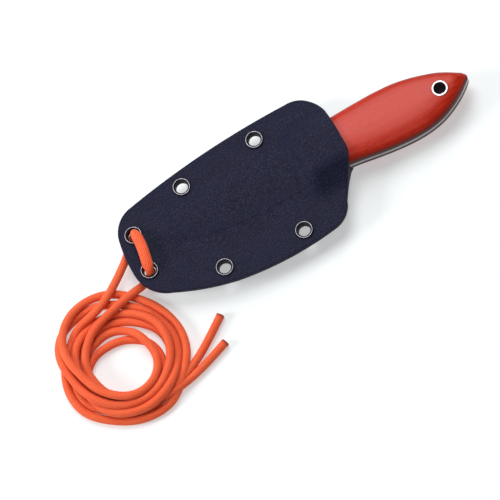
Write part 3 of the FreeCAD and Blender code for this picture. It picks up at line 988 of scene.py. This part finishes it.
def station_curve(column):
    """A smooth curve through the handle stations, as a function of x."""
    xs = np.array([s[0] for s in HANDLE_STATIONS])
    ys = np.array([float(s[column]) for s in HANDLE_STATIONS])
    slope = np.gradient(ys, xs)

    def at(x):
        k = int(np.clip(np.searchsorted(xs, x) - 1, 0, len(xs) - 2))
        h = xs[k + 1] - xs[k]
        t = (x - xs[k]) / h
        a, b = ys[k], ys[k + 1]
        return ((2 * t ** 3 - 3 * t ** 2 + 1) * a + (t ** 3 - 2 * t ** 2 + t) * h * slope[k]
                + (-2 * t ** 3 + 3 * t ** 2) * b + (t ** 3 - t ** 2) * h * slope[k + 1])
    return at


def scale_piece(name, sign, material):
    """A scale as a row of sections, bored for the tube and the pin, with painted shade marked along its rim
    and low on its flanks.
    """
    belly_at, spine_at = station_curve(1), station_curve(2)
    xs = [HANDLE_STATIONS[0][0] + BODY_STEP * i for i in range(118)]
    xs = [x for x in xs if x < BUTT_FROM]
    for i in range(BUTT_STEPS + 1):
        xs.append(BUTT_FROM + BUTT_LENGTH * math.sin(math.pi / 2 * i / BUTT_STEPS))
    verts, rim = [], []
    for x in xs:
        share = min(1.0, float(between_stations(HANDLE_STATIONS, 3, x)))
        section = scale_section(belly_at(x), spine_at(x), share)
        for y, tall in section:
            verts.append((x, y, MID_Z + sign * (LINER_TOP + tall)))
            # Painted shade, darker low on the flanks and near the edges, where the rounded rim turns from
            # the light
            low_down = (1.0 - min(1.0, tall / (SHADE_RIM_H * SCALE_RISE * share))) ** 1.2
            near_edge = 1.0 - min(y - belly_at(x), spine_at(x) - y) / SHADE_RIM_W
            rim.append(max(low_down, near_edge))
        for y in (section[-1][0], section[0][0]):
            verts.append((x, y, MID_Z + sign * LINER_TOP))
            rim.append(1.0)
    m = len(verts) // len(xs)
    faces = []
    for i in range(len(xs) - 1):
        for k in range(m):
            j = (k + 1) % m
            faces.append((i * m + k, i * m + j, (i + 1) * m + j, (i + 1) * m + k))
    faces.append(tuple(range(m)))
    faces.append(tuple(reversed(range((len(xs) - 1) * m, len(xs) * m))))
    piece = mesh_object(name, verts, faces, material)
    piece.data.attributes.new("painted_rim_shade", "FLOAT", "POINT").data.foreach_set("value", rim)
    for label, centre, radius in (("bore", TUBE_AT, TUBE_HOLE_R), ("pin", PIN_AT, PIN_HOLE_R)):
        cutter = drill(label + name, centre, radius)
        cut = piece.modifiers.new(label, "BOOLEAN")
        cut.operation = "DIFFERENCE"
        cut.solver = "EXACT"
        cut.object = cutter
        apply_modifiers(piece)
        bpy.data.objects.remove(cutter)
    sharpen(piece, 40)
    return piece


def drill(name, centre, radius):
    """A plain round cutter that passes right through the knife."""
    sides = 64
    angles = [2 * math.pi * k / sides for k in range(sides)]
    verts = [(centre[0] + radius * math.cos(a), centre[1] + radius * math.sin(a), z)
             for z in (-5.0, 25.0) for a in angles]
    faces = [(k, (k + 1) % sides, sides + (k + 1) % sides, sides + k) for k in range(sides)]
    faces += [tuple(reversed(range(sides))), tuple(range(sides, 2 * sides))]
    mesh = bpy.data.meshes.new(name)
    mesh.from_pydata([tuple(c * MM for c in p) for p in verts], [], faces)
    cutter = bpy.data.objects.new(name, mesh)
    bpy.context.scene.collection.objects.link(cutter)
    return cutter


def apply_modifiers(piece):
    """Puts the modifiers' result into the piece's own mesh."""
    bpy.context.view_layer.update()
    graph = bpy.context.evaluated_depsgraph_get()
    evaluated = piece.evaluated_get(graph)
    made = bpy.data.meshes.new_from_object(evaluated, preserve_all_data_layers=True, depsgraph=graph)
    piece.modifiers.clear()
    piece.data = made


RED = scale_red()
for node, sign in (("scale_front", 1), ("scale_back", -1)):
    piece = scale_piece("shaped_" + node, sign, RED)
    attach(piece, "knife")
    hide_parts(node)


# ---------------------------------------------------------------- carried-over CAD nodes

LOOKS = {
    "blade": blade_steel(),
    "lanyard_tube": turned_steel("tube_steel", TUBE_AT, (0.44, 0.37, 0.39), 7.9),
    "front_pin": turned_steel("pin_steel", PIN_AT, (0.62, 0.60, 0.60), 8.0),
}
LOOKS["liner_front"] = LOOKS["liner_back"] = liner_black()
for node, look in LOOKS.items():
    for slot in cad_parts[node].material_slots:
        slot.material = look


# ---------------------------------------------------------------- floor, light and camera

def floor_glow():
    """Pale sheet lit from below as well, as on a light table."""
    n = Nodes("floor_paper", (0.9, 0.9, 0.9), 0.85,
              **{"Specular IOR Level": 0.1, "Emission Strength": 0.37})
    n.set(n.shader, {"Emission Color": (1, 1, 1, 1)})
    tooth = n.noise(900.0, 3.0)
    colour = n.mix(tooth, (0.565, 0.60, 0.605), (0.585, 0.62, 0.625))
    return n.use(colour=colour, normal=n.bump(tooth, 0.02, 0.2))


FLOOR_HALF = 6000
corners = [(x * FLOOR_HALF, y * FLOOR_HALF, 0) for x, y in ((-1, -1), (1, -1), (1, 1), (-1, 1))]
floor = mesh_object("floor", corners, [(0, 1, 2, 3)], floor_glow())

scene = bpy.context.scene
scene.view_settings.view_transform = "Standard"
world = bpy.data.worlds.new("soft_room")
scene.world = world
world.use_nodes = True
sky = world.node_tree
upward = sky.nodes.new("ShaderNodeSeparateXYZ")
sky.links.new(sky.nodes.new("ShaderNodeTexCoord").outputs["Generated"], upward.inputs[0])
# Bright at and below the horizon, dim overhead
walls = sky.nodes.new("ShaderNodeMapRange")
for socket, value in zip(walls.inputs[1:5], (0.2, 0.6, 0.62, 0.1)):
    socket.default_value = value
sky.links.new(upward.outputs[2], walls.inputs[0])
sky.nodes["Background"].inputs["Color"].default_value = (1.0, 1.0, 1.0, 1)
sky.links.new(walls.outputs[0], sky.nodes["Background"].inputs["Strength"])


def area_light(name, toward, distance, size, power, centre=(-0.04, -0.01, 0.01)):
    data = bpy.data.lights.new(name, "AREA")
    data.shape = "DISK"
    data.size = size
    data.energy = power
    lamp = bpy.data.objects.new(name, data)
    direction = Vector(toward).normalized()
    lamp.location = Vector(centre) + direction * distance
    lamp.rotation_mode = "QUATERNION"
    lamp.rotation_quaternion = direction.to_track_quat("Z", "Y")
    scene.collection.objects.link(lamp)


area_light("key", (0.08, 0.42, 0.9), 1.4, 0.85, 11.0)
area_light("window", (0.35, 0.75, 0.62), 1.4, 0.8, 6.0)
area_light("side", (-0.85, 0.2, 0.5), 1.4, 0.5, 12.0)
area_light("front_soft", (0.0, -0.35, 0.94), 1.8, 0.4, 4.0)

ELEVATION = math.radians(70.0)
ROLL = math.radians(28.3)
AIM = Vector((-0.0383, -0.0220, 0.0101))
DISTANCE = 4.8
ahead_up = Vector((0, math.sin(ELEVATION), math.cos(ELEVATION)))
back = Vector((0, -math.cos(ELEVATION), math.sin(ELEVATION)))
right = Vector((1, 0, 0)) * math.cos(ROLL) - ahead_up * math.sin(ROLL)
up = Vector((1, 0, 0)) * math.sin(ROLL) + ahead_up * math.cos(ROLL)
camera_data = bpy.data.cameras.new("camera")
camera_data.lens = 720
camera_data.sensor_width = 36
camera_data.clip_start = 0.05
camera_data.clip_end = 30
camera = bpy.data.objects.new("camera", camera_data)
turn = Matrix((right, up, back)).transposed()
camera.matrix_world = Matrix.Translation(AIM + back * DISTANCE) @ turn.to_4x4()
scene.collection.objects.link(camera)
scene.camera = camera
